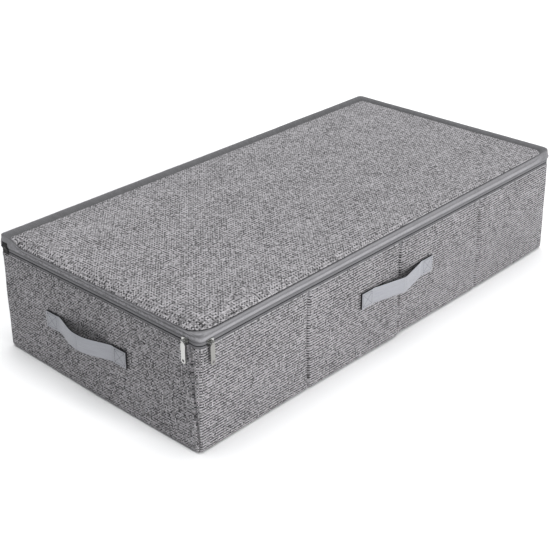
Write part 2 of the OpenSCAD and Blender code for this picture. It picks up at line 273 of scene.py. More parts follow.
def webbing(name, base, cool):
    """Strap webbing: ribs along its length, crossed by fine picks, with a flatter woven edge."""
    t = Tree(name)
    u, v = t.cloth_mm()
    rib = t.wave(v, 1.5)
    pick = t.wave(t.line(t.math("SIGN", rib), 0.35, u), 1.1)
    height = t.line(pick, 0.45, t.math("ABSOLUTE", rib))
    dye = t.noise(t.over(u, v, 25.0, 2.0), detail=3.0)
    fuzz = t.noise(t.vector(u, v, 3.0), scale=1.2, detail=2.0)
    # The colour also rises a little with the ribs' height: painted shade in the hollows between the ribs.
    level = t.plus(t.plus(t.sway(dye, 0.93, 1.05), t.sway(fuzz, -0.06, 0.06)), t.times(height, 0.05))
    return t.finish(t.scaled(grey(base, -cool)[:3], level), t.span(fuzz, 0.2, 0.8, 0.5, 0.66), height, 0.14, 0.7,
                    Sheen_Weight=0.25, Sheen_Roughness=0.3, Specular_IOR_Level=0.45)


def nonwoven(name, base):
    """Thermally bonded lining: matted fibres with rows of pressed diamonds."""
    t = Tree(name)
    u, v = t.cloth_mm()
    dots = t.times(t.wave(t.plus(u, v), 4.8), t.wave(t.math("SUBTRACT", u, v), 4.8))
    pressed = t.span(t.math("ABSOLUTE", dots), 0.55, 0.8, smooth=True)
    fibre = t.noise(t.vector(u, t.times(v, 0.6)), scale=1.1, detail=4.0, rough=0.7)
    patch = t.noise(t.over(u, v, 40.0, 40.0, 9.0), detail=3.0)
    level = t.plus(t.sway(fibre, 0.8, 1.18), t.sway(patch, -0.08, 0.08))
    level = t.math("SUBTRACT", level, t.times(pressed, 0.16))
    height = t.math("SUBTRACT", t.times(fibre, 0.6), pressed)
    return t.finish(t.scaled(grey(base)[:3], level), t.span(pressed, 0.0, 1.0, 0.9, 0.6), height, 0.12, 0.8,
                    Sheen_Weight=0.1, Specular_IOR_Level=0.3)


def cardboard(name, base):
    """Grey board: matted fibres and faint patches."""
    t = Tree(name)
    place = t.object_mm()
    fibre = t.noise(place, scale=0.9, detail=5.0, rough=0.7)
    patch = t.noise(place, scale=0.03, detail=3.0)
    level = t.plus(t.sway(fibre, 0.85, 1.12), t.sway(patch, -0.08, 0.08))
    return t.finish(t.scaled(base, level), t.sway(fibre, 0.95, 0.8), fibre, 0.1, 0.6, Specular_IOR_Level=0.25)


def plated(name, base, rough):
    """Bright plating with fine wear: faint scratches, cast ripple and small dull spots."""
    t = Tree(name)
    place = t.object_mm()
    ripple = t.noise(place, scale=0.35, detail=2.0)
    wear = t.noise(place, scale=3.5, detail=4.0, rough=0.7)
    dull = t.span(wear, 0.52, 0.72, smooth=True)
    colour = t.mix_colour(dull, base + (1.0,), tuple(c * 0.72 for c in base) + (1.0,))
    height = t.line(wear, 0.15, ripple)
    return t.finish(colour, t.span(dull, 0.0, 1.0, rough, rough + 0.2), height, 0.12, 0.5, Metallic=1.0)


def moulded(name, base, rough):
    """Plastic with a fine grain: the zip coil, and the strap's dark backing, which is partly painted shade."""
    t = Tree(name)
    place = t.object_mm()
    grain = t.noise(place, scale=4.0, detail=3.0)
    patch = t.noise(place, scale=0.2, detail=2.0)
    level = t.plus(t.sway(grain, 0.88, 1.1), t.sway(patch, -0.08, 0.08))
    return t.finish(t.scaled(base, level), t.sway(grain, rough, rough + 0.12), grain, 0.05, 0.5)


def twisted(name, base, warm=0.0):
    """Sewing thread: two plies twisted round each other."""
    t = Tree(name)
    place = t.object_mm()
    wave = t.node("ShaderNodeTexWave", wave_type="BANDS", bands_direction="DIAGONAL")
    t.links.new(place, wave.inputs["Vector"])
    wave.inputs["Scale"].default_value = 0.9
    wave.inputs["Distortion"].default_value = 0.6
    dye = t.noise(place, scale=0.3, detail=2.0)
    level = t.plus(t.span(wave.outputs["Fac"], 0.0, 1.0, 0.82, 1.1), t.sway(dye, -0.08, 0.08))
    return t.finish(t.scaled(grey(base, warm)[:3], level), 0.6, wave.outputs["Fac"], 0.08, 0.6, Sheen_Weight=0.2)


WALL_CLOTH = woven("wall_cloth", 0.42, 0.024, (2.3, 1.95), 1.7, 1.4, (0.74, 0.0, 0.42), contrast=1.05)
END_CLOTH = woven("end_cloth", 0.42, 0.024, (2.3, 1.95), 1.7, 1.4, (0.3, 0.0, 0.5), contrast=1.3)
TOP_CLOTH = woven("top_cloth", 0.415, 0.024, (2.3, 2.4), 1.4, 1.4, (0.4, 0.4, 0.5), contrast=1.2)
# The border tape's colour carries painted light: a painted highlight on its front ridge, and painted shade under its
# hem, in its seam and on the top of the far sides.
PAINTED_LIGHT_BORDER_TAPE = taped("border_tape", 0.19, 0.9, 0.08, sheen=0.06, cool=0.015, rough=0.5, shine=0.5, painted_light_uv=True)
ZIP_TAPE = taped("zip_tape", 0.14, 0.8, 0.06, sheen=0.1, cool=0.02, rough=0.6, shine=0.5)
END_TAPE = taped("zip_end_tape", 0.014, 0.8, 0.06, sheen=0.1, rough=0.7, shine=0.3)
HINGE_CLOTH = taped("hinge_cloth", 0.13, 1.0, 0.09, sheen=0.15, cool=0.02)
STRAP = webbing("handle_webbing", 0.33, 0.045)
LINING = nonwoven("lining_felt", 0.075)
BOARD = cardboard("grey_board", (0.22, 0.212, 0.2))
COIL = moulded("zip_coil_nylon", (0.012, 0.012, 0.015), 0.4)
METAL = plated("slider_plating", (0.52, 0.52, 0.505), 0.2)
# A darker, warmer copy of the slider plating for the front pull: painted shade.
SHADED_PULL_METAL = plated("worn_metal", (0.33, 0.325, 0.31), 0.26)
STOP_METAL = plated("stop_plating", (0.55, 0.55, 0.54), 0.26)
THREAD = twisted("thread_grey", 0.11)
STRAP_THREAD = twisted("thread_dark", 0.10, -0.03)
# Near-black strap backing for the strap's back, rims and ends: partly the strap's real dark backing and cut ends,
# partly painted shade for the dark gap between strap and wall.
DARK_BACKING_AND_SHADE = moulded("strap_backing_and_painted_shade", (0.008, 0.008, 0.010), 0.8)


# ---------------------------------------------------------------- meshes
def mesh_object(name, points_mm, faces, uv_mm, material):
    """An object from points in millimetres. uv_mm gives each face corner's cloth coordinates, face by face."""
    mesh = bpy.data.meshes.new(name)
    mesh.from_pydata((np.asarray(points_mm, float) * MM).tolist(), [], faces)
    layer = mesh.uv_layers.new(name="Cloth")
    layer.data.foreach_set("uv", (np.asarray(uv_mm, float).reshape(-1, 2) * MM).astype(np.float32).ravel())
    mesh.polygons.foreach_set("use_smooth", [True] * len(mesh.polygons))
    mesh.materials.append(material)
    mesh.update()
    made = bpy.data.objects.new(name, mesh)
    bpy.context.scene.collection.objects.link(made)
    return made


def grid(name, points, uv, material, closed=False, flip=False, caps=False):
    """A surface from a rows x columns x 3 array. closed joins the last row to the first; uv then has one more row."""
    rows, columns = points.shape[:2]
    faces, corners = [], []
    for i in range(rows if closed else rows - 1):
        k = (i + 1) % rows
        for j in range(columns - 1):
            face = [(i, i, j), (k, i + 1, j), (k, i + 1, j + 1), (i, i, j + 1)]
            if flip:
                face.reverse()
            faces.append([a * columns + b for a, _, b in face])
            corners += [uv[r][b] for _, r, b in face]
    if caps:
        for j, turn in ((0, True), (columns - 1, False)):
            ring = list(range(rows))
            if turn != flip:
                ring.reverse()
            faces.append([i * columns + j for i in ring])
            corners += [uv[i][j] for i in ring]
    return mesh_object(name, points.reshape(-1, 3), faces, corners, material)


def thicken(piece, thickness_mm):
    """Cloth gets its thickness on its inner side."""
    solid = piece.modifiers.new("thickness", "SOLIDIFY")
    solid.thickness = thickness_mm * MM
    solid.offset = -1.0
    solid.use_even_offset = False


def lattice(along, across):
    """Cloth coordinates for every point of a grid."""
    return [[(a, c) for c in across] for a in along]


def at_height(points, z):
    """Points in x and y, all at one height."""
    return np.column_stack([points, np.full(len(points), z)])


def soften(piece, width_mm, segments=2):
    """Small rounded edges on a CAD piece."""
    bevel = piece.modifiers.new("rounding", "BEVEL")
    bevel.width = width_mm * MM
    bevel.segments = segments
    bevel.limit_method = "ANGLE"
    bevel.angle_limit = math.radians(35)
    bevel.harden_normals = False


def smooth_step(share):
    return share * share * (3 - 2 * share)


def smooth_noise(x, y, seed, size, count=9):
    """A gentle wavy field between about -1 and 1, from a few sine waves."""
    rng = np.random.RandomState(seed)
    total = np.zeros(np.broadcast(x, y).shape)
    for _ in range(count):
        angle, wave, phase = rng.uniform(0, 2 * math.pi), size * rng.uniform(0.6, 1.8), rng.uniform(0, 2 * math.pi)
        total = total + np.sin((x * math.cos(angle) + y * math.sin(angle)) * 2 * math.pi / wave + phase)
    return total / (count ** 0.5 * 1.3)


def side_steps(length, step, marks=()):
    """Distances along a straight side, closer together near the marks."""
    places = list(np.linspace(0, length, max(2, int(length / step) + 1)))
    for m in marks:
        for d in (0.0, 0.6, 1.2, 1.9, 2.7, 3.8, 5.5, 8.0):
            places += [m - d, m + d]
    places = sorted(p for p in places if 0 <= p <= length)
    kept = [places[0]]
    for p in places[1:]:
        if p - kept[-1] > 0.35:
            kept.append(p)
    kept[-1] = length
    return np.array(kept) / length


LONG_STEPS = side_steps(2 * HALF_L, 5.0, [c + HALF_L for c in CREASES])
SHORT_STEPS = side_steps(2 * HALF_W, 5.0, [2 * HALF_W - 2.8])
ARC_STEPS = 12


def ring(low, high, radii, long_steps=LONG_STEPS, short_steps=SHORT_STEPS, arc=ARC_STEPS):
    """A rounded rectangle from corner low to corner high, counter-clockwise from the back left.
    radii are the front left, front right, back right and back left ones. Gives points, outward normals and the
    place of each corner's middle."""
    (x0, y0), (x1, y1) = low, high
    fl, fr, br, bl = radii
    points, normals, middles = [], [], []

    def straight(a, b, steps, normal):
        for s in steps[:-1]:
            points.append((a[0] + (b[0] - a[0]) * s, a[1] + (b[1] - a[1]) * s))
            normals.append(normal)

    def corner(cx, cy, r, start):
        middles.append(len(points) + arc // 2)
        for k in range(arc):
            a = math.radians(start + 90 * k / arc)
            points.append((cx + r * math.cos(a), cy + r * math.sin(a)))
            normals.append((math.cos(a), math.sin(a)))

    straight((x0, y1 - bl), (x0, y0 + fl), short_steps, (-1, 0))
    corner(x0 + fl, y0 + fl, fl, 180)
    straight((x0 + fl, y0), (x1 - fr, y0), long_steps, (0, -1))
    corner(x1 - fr, y0 + fr, fr, 270)
    straight((x1, y0 + fr), (x1, y1 - br), short_steps, (1, 0))
    corner(x1 - br, y1 - br, br, 0)
    straight((x1 - br, y1), (x0 + bl, y1), long_steps, (0, 1))
    corner(x0 + bl, y1 - bl, bl, 90)
    return np.array(points), np.array(normals), middles


def rect(near, far):
    """Two corners of the box's outline, moved in by near at the front and left and by far at the back and right."""
    return (-HALF_L + near, -HALF_W + near), (HALF_L - far, HALF_W - far)


def box_ring(inset, front_r=FRONT_R, back_r=BACK_R, **steps):
    """The box's outline, moved in by inset all round."""
    front, back = max(front_r - inset, 0.6), max(back_r - inset, 0.6)
    return ring(*rect(inset, inset), (front, front, back, back), **steps)


def run_lengths(points, closed=True):
    """Distance along a line of points; one more than the points when it is closed."""
    follow = np.vstack([points, points[:1]]) if closed else points
    return np.concatenate([[0], np.cumsum(np.linalg.norm(np.diff(follow, axis=0), axis=1))])


def smooth_profile(rows, count):
    """More points through a short list of rows, on a smooth curve."""
    rows = np.array(rows, float)
    place = run_lengths(rows[:, :2], closed=False)
    wanted = np.linspace(0, place[-1], count)
    out = []
    for w in wanted:
        i = min(max(int(np.searchsorted(place, w)) - 1, 0), len(rows) - 2)
        s = (w - place[i]) / (place[i + 1] - place[i])
        a, b = rows[i], rows[i + 1]
        before = rows[i - 1] if i > 0 else 2 * a - b
        after = rows[i + 2] if i + 2 < len(rows) else 2 * b - a
        out.append(0.5 * (2 * a + (b - before) * s + (2 * before - 5 * a + 4 * b - after) * s * s
                          + (3 * a - before - 3 * b + after) * s ** 3))
    return np.array(out)


def bulge(points):
    """How the soft walls lean out towards the floor, as a shift in x and y. points is ... x 3."""
    x, y, z = np.moveaxis(points, -1, 0)
    low = np.clip(1 - z / WALL_TOP, 0, 1)
    front = np.interp(x, [-400, -300, -206, -194, -100, -7, 7, 140, 194, 206, 320, 400],
                      [-0.9, -0.9, 0.2, 0.9, 2.0, 4.0, 0.3, 2.2, 2.7, 2.2, 2.6, 1.2])
    left = np.interp(y, [-200, -100, 0, 100, 200], [5.0, 5.5, 5.0, 2.6, 0.5])
    by_front, by_left, by_right = (np.exp(-(gap / 40) ** 2) for gap in (y + HALF_W, x + HALF_L, x - HALF_L))
    return np.stack([low * (2.0 * by_right - left * by_left), -low * front * by_front, 0 * low], axis=-1)


def droop(x, y):
    """How far the zip sags towards the front left corner."""
    away = np.abs(x + HALF_L) + np.abs(y + HALF_W)
    lift = 1.4 * np.clip(0.5 + x / HALF_L / 2, 0, 1) * np.clip(0.5 - y / HALF_W / 2, 0, 1)
    return 1.5 * np.exp(-(away / 110) ** 2) + 1.8 * np.exp(-(away / 15) ** 2) - lift


def seam_rise(x):
    """The lid's front seam stands higher towards the right."""
    return 4.6 * np.clip((x + HALF_L - 60) / (2 * HALF_L - 60), 0, 1)


def sag(points, top_share=0.5):
    """Lowers points with the zip: fully up to the lid's border, less on top of the lid, and not low on the walls."""
    z = points[..., 2]
    share = np.interp(z, [WALL_TOP - 45, WALL_TOP - 5, SKIRT_LOW, TOP - 3], [0, 1, 1, top_share])
    points[..., 2] = z - share * droop(points[..., 0], points[..., 1])
    return points


# ---------------------------------------------------------------- stitches
def capsule(sides=6):
    """A short round-ended bar along X, one long and one thick, as points and faces."""
    points, faces = [(-0.5, 0, 0)], []
    for x, r in ((-0.46, 0.28), (-0.3, 0.5), (0.3, 0.5), (0.46, 0.28)):
        for k in range(sides):
            a = 2 * math.pi * k / sides
            points.append((x, r * math.cos(a), r * math.sin(a)))
    points.append((0.5, 0, 0))
    for k in range(sides):
        n = (k + 1) % sides
        faces.append([0, 1 + n, 1 + k])
        for level in range(3):
            base = 1 + level * sides
            faces.append([base + k, base + n, base + sides + n, base + sides + k])
        faces.append([1 + 3 * sides + k, 1 + 3 * sides + n, len(points) - 1])
    return np.array(points), faces


def copies(name, places, along, out, size, template, material):
    """Many copies of one small shape in one mesh. along and out are unit directions; size is length, height, width."""
    shape, shape_faces = template
    places, along, out = (np.asarray(a, float).reshape(-1, 3) for a in (places, along, out))
    side = np.cross(out, along)
    local = shape * np.array([size[0], size[2], size[1]])
    points = (places[:, None, :] + local[None, :, 0:1] * along[:, None, :] + local[None, :, 1:2] * side[:, None, :]
              + local[None, :, 2:3] * out[:, None, :])
    count = len(shape)
    faces = [[k * count + i for i in f] for k in range(len(places)) for f in shape_faces]
    corners = sum(len(f) for f in faces)
    return mesh_object(name, points.reshape(-1, 3), faces, np.zeros((corners, 2)), material)


def along_line(line, out, pitch, closed=False):
    """Evenly spaced places on a line, with the direction along it and out of the cloth."""
    line, out = np.asarray(line, float), np.asarray(out, float)
    if closed:
        line, out = np.vstack([line, line[:1]]), np.vstack([out, out[:1]])
    length = run_lengths(line, closed=False)
    count = max(1, int(length[-1] / pitch))
    wanted = (np.arange(count) + 0.5) * length[-1] / count

    def pick(source, at):
        return np.stack([np.interp(at, length, source[:, k]) for k in range(3)], axis=1)

    places, normal = pick(line, wanted), pick(out, wanted)
    direction = pick(line, wanted + 0.4) - pick(line, wanted - 0.4)
    direction /= np.linalg.norm(direction, axis=1)[:, None]
    normal -= (normal * direction).sum(axis=1)[:, None] * direction
    normal /= np.linalg.norm(normal, axis=1)[:, None]
    return places, direction, normal


STITCH = capsule()


# ---------------------------------------------------------------- walls
def wall_levels():
    """Height and inset of the wall cloth, from where it tucks under the base to its folded top edge."""
    under = [(0.9, 9.0), (0.45, 7.0), (0.25, 5.2), (0.55, 3.4), (1.5, 1.75), (3.2, 0.6), (5.5, 0.1)]
    body = [(z, 0.0) for z in np.linspace(9, WALL_EDGE - 11, 30)]
    hem = [(WALL_EDGE - 8.2, -0.05), (WALL_EDGE - 7.4, -0.3), (WALL_EDGE - 5, -0.4), (WALL_EDGE - 2, -0.35),
           (WALL_EDGE - 0.8, -0.1), (WALL_EDGE - 0.15, 0.25), (WALL_EDGE, 0.75), (WALL_EDGE - 0.5, 1.15)]
    return under + body + hem


def wall_surface(levels):
    """All four walls at every level: points, and the ring indices of the four corner seams."""
    rows = []
    for z, inset in levels:
        share = min(max(z / WALL_TOP, 0), 1)
        front_r = LOW_R + (FRONT_R - LOW_R) * share ** 2
        points, normals, middles = box_ring(0, front_r=front_r, back_r=LOW_R + (BACK_R - LOW_R) * share)
        length = run_lengths(points)
        length, around = length[:-1], length[-1]
        fold = np.zeros(len(points))
        rise = math.exp(-((z - WALL_TOP) / 30) ** 2)
        long_wall = np.abs(normals[:, 1]) > 0.99
        for c in CREASES:
            near = points[:, 0] - c - 1.2 * math.sin(z / 23 + c)
            fold -= long_wall * (4.0 * np.exp(-(near / 1.9) ** 2) + 0.6 * np.exp(-(near / 9.0) ** 2))
        for m, lean, deep in zip(middles, (14, 0, 0, 0), (3.4, 1.7, 1.7, 1.7)):
            gap = length - length[m] + lean * share + 0.8 * math.sin(z / 11) * share
            gap = (gap + around / 2) % around - around / 2
            fold -= deep * np.exp(-(gap / 1.7) ** 2) - 0.35 * np.exp(-((np.abs(gap) - 4.5) / 2.5) ** 2)
        wave = 0.36 * smooth_noise(length, z, 5, 150) + 0.12 * smooth_noise(length, z, 8, 36)
        wave = wave * min(1.0, z / 25) * (1 - 0.6 * rise)
        out = fold * (0.25 + 0.75 * min(1, z / 12)) + wave - inset
        row = at_height(points + normals * out[:, None], z)
        rows.append(row + bulge(row))
    return sag(np.stack(rows, axis=1)), middles, length


WALL_LEVELS = wall_levels()
wall_points, SEAMS, wall_run = wall_surface(WALL_LEVELS)
wall_climb = run_lengths(np.array([(i, z) for z, i in WALL_LEVELS]), closed=False)


def wall_panel(name, node, first, last, cloth):
    """One wall's cloth, between two corner seams."""
    index = [k % len(wall_points) for k in range(first, last + 1)]
    points = wall_points[index]
    run = wall_run[index].copy()
    run[np.array(range(first, last + 1)) >= len(wall_points)] += run_lengths(wall_points[:, 20, :2])[-1]
    piece = grid(name, points, lattice(run, wall_climb), cloth)
    thicken(piece, 1.0)
    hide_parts(node)
    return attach(piece, "box")


fl, fr, br, bl = SEAMS
wall_panel("front_wall_cloth", "front_fabric", fl, fr, WALL_CLOTH)
wall_panel("right_wall_cloth", "right_fabric", fr, br, END_CLOTH)
wall_panel("back_wall_cloth", "back_fabric", br, bl, WALL_CLOTH)
wall_panel("left_wall_cloth", "left_fabric", bl, fl + len(wall_points), END_CLOTH)


def roof(name, low, high, radii, insets, heights, material, slot, wave=None, shape=None, flip=False):
    """A flat cloth panel made of rings that shrink to its middle. insets and heights go from its edge inwards."""
    rows = []
    for inset, z in zip(insets, heights):
        rr = [max(r - inset, 0.0) for r in radii]
        points, normals, _ = ring((low[0] + inset, low[1] + inset), (high[0] - inset, high[1] - inset), rr)
        lift = 0 if wave is None else wave(points[:, 0], points[:, 1]) * min(1.0, inset / 12)
        if shape is not None:
            lift = lift + shape(points, normals, inset)
        rows.append(np.column_stack([points, np.full(len(points), z) + lift]))
    points = np.stack(rows, axis=1)
    flat = points[..., :2].copy()
    for k in range(len(insets) - 2, -1, -1):
        step = points[:, k] - points[:, k + 1]
        level = np.maximum(np.hypot(step[:, 0], step[:, 1]), 1e-6)
        longer = np.minimum(np.linalg.norm(step, axis=1) / level, 20.0)
        flat[:, k] = flat[:, k + 1] + step[:, :2] * longer[:, None]
    piece = grid(name, points, [*flat, flat[0]], material, closed=True, flip=flip)
    work = bmesh.new()
    work.from_mesh(piece.data)
    bmesh.ops.remove_doubles(work, verts=work.verts, dist=0.02 * MM)
    work.to_mesh(piece.data)
    work.free()
    return piece


def inset_steps(limit, fine=(0, 0.5, 1.1, 1.9, 3.0, 4.5, 7, 10), step=7.0):
    """How far in each ring of a panel lies: close together at its edge, then evenly on to its middle."""
    steps = list(fine)
    while steps[-1] + step < limit:
        steps.append(steps[-1] + step)
    return steps + [limit]


BASE_IN = 4.2
base_steps = inset_steps(HALF_W - BASE_IN)
base = roof("base_cloth", *rect(BASE_IN, BASE_IN), (8, 8, 4, 4), base_steps,
            [1.0 if s < 0.8 else 0.55 if s < 3 else 0.35 for s in base_steps], LINING, "lining", flip=True,
            wave=lambda x, y: 0.18 * (1 + smooth_noise(x, y, 3, 90)))
thicken(base, 0.6)
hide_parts("base_fabric")
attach(base, "box")


# ---------------------------------------------------------------- lid
LEFT_SETTLE = 2.6


def far_part(x, y):
    """0 along the near edges of the lid and 1 along the back and right ones, with a short change between them."""
    return smooth_step(np.clip(np.maximum(x - HALF_L + 52, y - HALF_W + 52) / 30, 0, 1))


def lid_border():
    """The border tape: up from the zip, over the lid's edge in a soft roll, and down into the seam."""
    low, top = SKIRT_LOW, TOP
    near = [(1.3, low + 1.9), (0.8, low + 0.8), (0.1, low + 0.4), (-0.7, low + 0.9), (-1.25, low + 1.9),
            (-1.3, low + 2.9), (-0.6, low + 4.3), (0.25, low + 5.2), (0.15, low + 6.0), (-0.25, low + 7.8),
            (-0.15, low + 9.3), (0.25, low + 10.4), (0.8, low + 10.8), (1.4, low + 10.0), (2.2, low + 8.2)]
    far = [(1.3, low + 1.6), (0.75, low + 0.35), (0.15, low + 0.1), (-0.35, low + 0.8), (-0.6, low + 2.8),
           (-0.55, low + 5), (-0.4, low + 7.5), (-0.1, top - 5.5), (0.6, top - 3.2), (1.9, top - 1.3),
           (5.5, top - 0.2), (11.5, top + 0.25), (17.5, top + 0.2), (21.2, top - 0.2), (23.0, top - 1.0)]
    corner = [(12, 12, 8)] * 6 + [(13, 13, 8), (14, 13, 8), (16, 13.5, 7.5), (19, 14, 7), (23, 14.5, 6.5),
                                  (27, 15, 6), (30, 15, 5.5), (30, 15, 5), (30, 15, 4.5)]
    rows = np.array([n + f + c for n, f, c in zip(near, far, corner)], float)
    rows = smooth_profile(rows, 46)
    made, painted_light_factors, mottles = [], [], []
    for n_in, n_z, f_in, f_z, rfl, rfr, rb in rows:
        points, normals, _ = ring(*rect(n_in, f_in), (rfl, rfr, rb, rb))
        far_share = far_part(points[:, 0], points[:, 1])
        length = run_lengths(points)[:-1]
        pucker = 0.09 * smooth_noise(length, n_z, 21, 24) + 0.16 * smooth_noise(length, n_z, 22, 110)
        left_share = np.clip(-normals[:, 0], 0, 1) ** 2 * (1 - far_share)
        settle = LEFT_SETTLE * np.interp(n_z - low, [5.0, 8.0, 11.0], [0.0, 0.55, 1.0])
        rise = np.interp(n_z - low, [1.0, 4.0, 10.4], [0.0, 0.25, 1.0]) * seam_rise(points[:, 0])
        z = (n_z + rise) * (1 - far_share) + f_z * far_share - settle * left_share
        made.append(np.column_stack([points + normals * pucker[:, None], z + 0.5 * pucker]))
        # The colour factor stored in the tape's second UV map is painted light. On the near sides it is a painted
        # highlight along the bulging ridge, with painted shade under the hem and in the seam groove. On the left side
        # the highlight is cut back and the seam shade lightened. On the far sides the tape's top is painted darker,
        # most of all by the seam.
        side_painted_light = np.interp(n_z - low, [0.4, 2.0, 4.2, 5.4, 9.4, 10.6], [0.75, 1.3, 1.62, 0.98, 1.06, 0.55])
        left_painted_light_cut = np.interp(n_z - low, [4.4, 6.0, 9.5, 10.5], [0.32, 0.05, 0.0, -0.28])
        far_top_painted_shade = np.interp(f_in, [-0.3, 1.5, 5.0, 12.0, 19.0, 22.0], [0.95, 0.76, 0.58, 0.5, 0.36, 0.3])
        painted_light_factors.append(side_painted_light * (1 - far_share) * (1 - left_share * left_painted_light_cut) + far_top_painted_shade * far_share)
        mottles.append(0.05 + 0.25 * left_share + 0.07 * far_share)
    points = sag(np.stack(made, axis=1))
    uv = lattice(run_lengths(points[:, 16, :2]), run_lengths(rows[:, :2], closed=False))
    piece = grid("lid_border_tape", points, uv, PAINTED_LIGHT_BORDER_TAPE, closed=True)
    painted_light_factors, mottles = np.stack(painted_light_factors, axis=1).ravel(), np.stack(mottles, axis=1).ravel()
    layer = piece.data.uv_layers.new(name="PaintedLightAndMottle")
    corners = np.zeros(len(piece.data.loops), dtype=np.int32)
    piece.data.loops.foreach_get("vertex_index", corners)
    layer.data.foreach_set("uv", np.column_stack([painted_light_factors[corners], mottles[corners]]).astype(np.float32).ravel())
    thicken(piece, 0.7)
    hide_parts("lid_rim", "lid_front_skirt", "lid_back_skirt", "lid_left_skirt", "lid_right_skirt")
    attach(piece, "lid")
    return points, normals


border_points, border_normals = lid_border()


def top_wave(x, y):
    """The lid's cloth lies a little uneven."""
    return 0.2 + 0.30 * smooth_noise(x, y, 31, 240) + 0.16 * smooth_noise(x, y, 32, 90)


top_low, top_high = rect(1.8, FAR_BORDER + 1.2)
top_steps = inset_steps((top_high[1] - top_low[1]) / 2, fine=(0, 0.4, 0.9, 1.5, 2.2, 3.2, 4.5, 6.2, 8.5, 11.5))
top_heights = [TOP - 0.3 - 0.9 * math.exp(-(s / 0.7) ** 2) for s in top_steps]


def near_edge(points, normals, inset):
    """The cloth rolls over the lid's front and left edges, down to the seam, and dips a little at the far one."""
    x, y = points[:, 0], points[:, 1]
    near = 1 - far_part(x, y)
    drop = near * (5.0 - seam_rise(x) + LEFT_SETTLE * np.clip(-normals[:, 0], 0, 1) ** 2) + 0.35 * (1 - near)
    return -drop * math.exp(-(inset / 8.0) ** 1.8) - 0.61 * droop(x, y) * math.exp(-(inset / 12) ** 2)


lid_top = roof("lid_top_cloth", top_low, top_high, (30, 15, 5, 5), top_steps, top_heights, TOP_CLOTH,
               "outer_fabric", wave=top_wave, shape=near_edge)
thicken(lid_top, 0.8)
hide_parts("lid_fabric")
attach(lid_top, "lid")

UNDER_IN = 2.3
under_z = edge("lid_lining", 0, 2)
under_steps = inset_steps(HALF_W - UNDER_IN)
under_heights = [under_z + 0.7 - 3.4 * math.exp(-(s / 2.4) ** 2) for s in under_steps]
lid_under = roof("lid_lining_cloth", *rect(UNDER_IN, UNDER_IN), (29.5, 14.5, 5.7, 5.7), under_steps, under_heights,
                 LINING, "lining", flip=True,
                 wave=lambda x, y: 0.22 * smooth_noise(x, y, 41, 160) - 0.15,
                 shape=lambda *ring_data: 0.85 * near_edge(*ring_data))
thicken(lid_under, 0.6)
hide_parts("lid_lining")
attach(lid_under, "lid")


# ---------------------------------------------------------------- inside
floor_top = edge("floor_lining", 1, 2)


def lining_walls():
    """The lining's walls: up from the floor, rounded over the boards, and in to the zip tape."""
    low, rim = floor_top + 0.3, WALL_TOP
    levels = [(low, 9.0), (low + 0.4, 7.2), (low + 1.6, 6.3), (low + 4, 6.05)]
    levels += [(z, 6.0) for z in np.linspace(low + 9, rim - 9, 22)]
    levels += [(rim - 5.5, 6.0), (rim - 3.0, 5.8), (rim - 1.5, 5.0), (rim - 0.8, 3.9), (rim - 0.9, 2.6)]
    rows = []
    for z, inset in levels:
        points, normals, _ = box_ring(inset)
        length = run_lengths(points)[:-1]
        fold = np.zeros(len(points))
        long_wall = np.abs(normals[:, 1]) > 0.99
        for c in CREASES:
            fold -= long_wall * 1.3 * np.exp(-((points[:, 0] - c) / 3.2) ** 2)
        wave = 0.25 * smooth_noise(length, z, 51, 120) + 0.15
        placed = points + normals * (fold - wave * min(1, max(0, z - 9) / 20))[:, None]
        rows.append(at_height(placed, z))
    points = np.stack(rows, axis=1)
    climb = run_lengths(np.array([(i, z) for z, i in levels]), closed=False)
    uv = lattice(run_lengths(points[:, 12, :2]), climb)
    piece = grid("wall_lining_cloth", points, uv, LINING, closed=True, flip=True)
    thicken(piece, 0.5)
    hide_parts("wall_lining")
    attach(piece, "box")


lining_walls()
FLOOR_IN = 6.4
floor_steps = inset_steps(HALF_W - FLOOR_IN)
floor_cloth = roof("floor_lining_cloth", *rect(FLOOR_IN, FLOOR_IN), (5.5, 5.5, 1.5, 1.5), floor_steps,
                   [floor_top + 0.1] * len(floor_steps), LINING, "lining",
                   wave=lambda x, y: 0.2 * smooth_noise(x, y, 61, 130)
                   - 0.5 * sum(np.exp(-((x - c) / 3.0) ** 2) for c in CREASES))
thicken(floor_cloth, 0.5)
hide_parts("floor_lining")
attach(floor_cloth, "box")


# ---------------------------------------------------------------- zip
def zip_line(depth, end_y, step):
    """The zip's path round the left end, the front and the right end, with outward directions."""
    points, normals, _ = box_ring(depth, short_steps=side_steps(2 * HALF_W, step),
                                  long_steps=side_steps(2 * HALF_L, step))
    last = next(k for k in range(len(points)) if normals[k][1] > 0.5)
    points, normals = points[:last], normals[:last]
    inside = points[:, 1] < end_y - 0.5
    path = [(-HALF_L + depth, end_y), *points[inside], (HALF_L - depth, end_y)]
    return np.array(path), np.vstack([[(-1, 0)], normals[inside], [(1, 0)]])


def tape_line(depth):
    """The zip tape's path: as the zip's, and on round both back corners to the hinge."""
    points, normals, middles = box_ring(depth)
    end = middles[2] + ARC_STEPS // 2 + 1
    reach = HALF_L - BACK_R - 6
    path = [(-reach, HALF_W - depth), *points[-ARC_STEPS:], *points[:end], (reach, HALF_W - depth)]
    outward = [(0, 1), *normals[-ARC_STEPS:], *normals[:end], (0, 1)]
    return np.array(path), np.array(outward)


def zip_tape(name, node, levels, body):
    """levels are the tape's depths and heights, from where it is sewn in to its folded edge by the coil."""
    line, normals = tape_line(COIL_DEPTH)
    levels = smooth_profile(levels, 18)
    run = run_lengths(line, closed=False)
    rows = []
    for depth, z in levels:
        ease = 0.06 * smooth_noise(run, z, 71, 22) + COIL_DEPTH - depth
        rows.append(at_height(line + normals * ease[:, None], z))
    points = sag(np.stack(rows, axis=1))
    downward = levels[-1][1] <= levels[0][1]
    piece = grid(name, points, lattice(run, run_lengths(levels, closed=False)), ZIP_TAPE, flip=downward)
    thicken(piece, 0.5)
    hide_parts(node)
    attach(piece, body)


